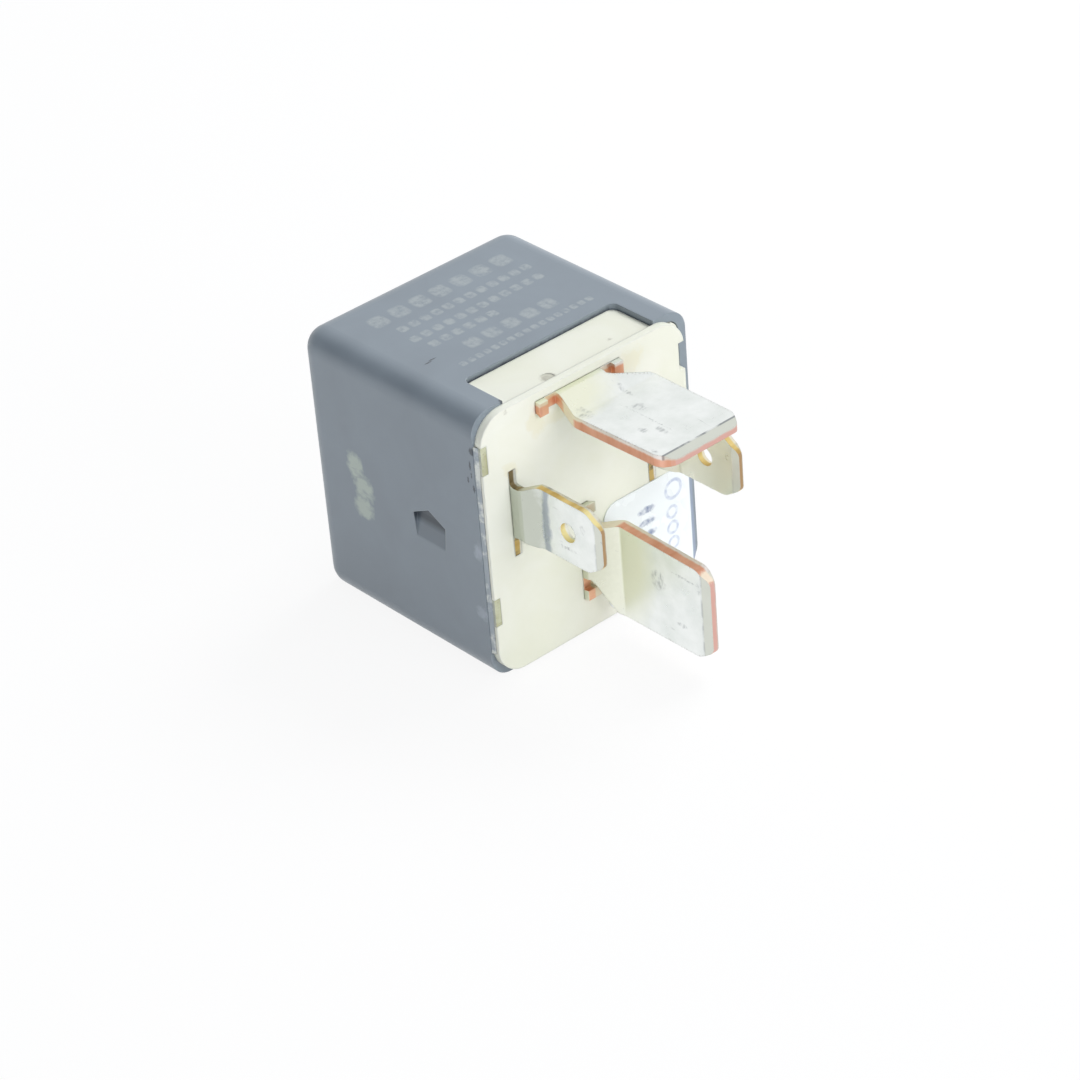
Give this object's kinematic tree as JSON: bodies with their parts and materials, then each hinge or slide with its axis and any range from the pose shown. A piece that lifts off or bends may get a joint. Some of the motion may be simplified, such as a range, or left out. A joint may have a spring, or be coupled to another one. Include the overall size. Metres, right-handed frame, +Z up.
{
  "type": "automotive relay",
  "caption": "Plug-in power relay: grey cover, cream base with four flat blades in a cross pattern, magnet, hinged armature and normally open contact inside.",
  "frame": {"origin": "on the resting plane, under the middle of the overall box", "axes": "+X across the two coil blades, +Y from the blades to the closed end of the cover, +Z up from the resting face to the printed face"},
  "size_m": [0.026, 0.039, 0.028],
  "materials": {
    "grey_plastic": "moulded, satin",
    "cream_plastic": "moulded, satin",
    "tinned_copper": "hot-tinned sheet with bare sheared edges",
    "tinned_brass": "tinned sheet with bare sheared edges",
    "black_nylon": "moulded, satin",
    "enamelled_wire": "enamelled copper",
    "soft_iron": "turned, plated",
    "plated_steel": "stamped, zinc plated",
    "copper_alloy": "spring temper strip",
    "contact_silver": "silver alloy",
    "spring_steel": "drawn wire",
    "bare_copper": "woven bare wire",
    "resistor_ceramic": "dipped coating",
    "tinned_wire": "tinned wire",
    "cured_resin": "cured, glossy",
    "label_film": "glossy film"
  },
  "bodies": {
    "housing": {"cover": "grey_plastic", "base": "cream_plastic", "terminal_fixed": "tinned_copper", "terminal_common": "tinned_copper", "terminal_coil_left": "tinned_brass", "terminal_coil_right": "tinned_brass", "bobbin": "black_nylon", "winding": "enamelled_wire", "core": "soft_iron", "yoke": "plated_steel", "fixed_contact": "contact_silver", "back_stop": "plated_steel", "return_spring": "spring_steel", "braid": "bare_copper", "resistor": "resistor_ceramic", "resistor_leads": "tinned_wire", "winding_leads": "enamelled_wire", "sealing_resin": "cured_resin", "label": "label_film"},
    "armature_unit": {"armature": "plated_steel", "contact_leaf": "copper_alloy", "leaf_rivets": "plated_steel", "moving_contact": "contact_silver"}
  },
  "joints": [
    {"name": "armature_hinge", "type": "hinge", "parent": "housing", "child": "armature_unit", "pos_m": [0, 0.01456, 0.0032], "axis": [1, 0, 0], "range_deg": [0, 4], "stiffness_Nm_per_rad": 0.01, "springref_deg": -8.59, "deforming": ["return_spring", "braid"]}
  ]
}
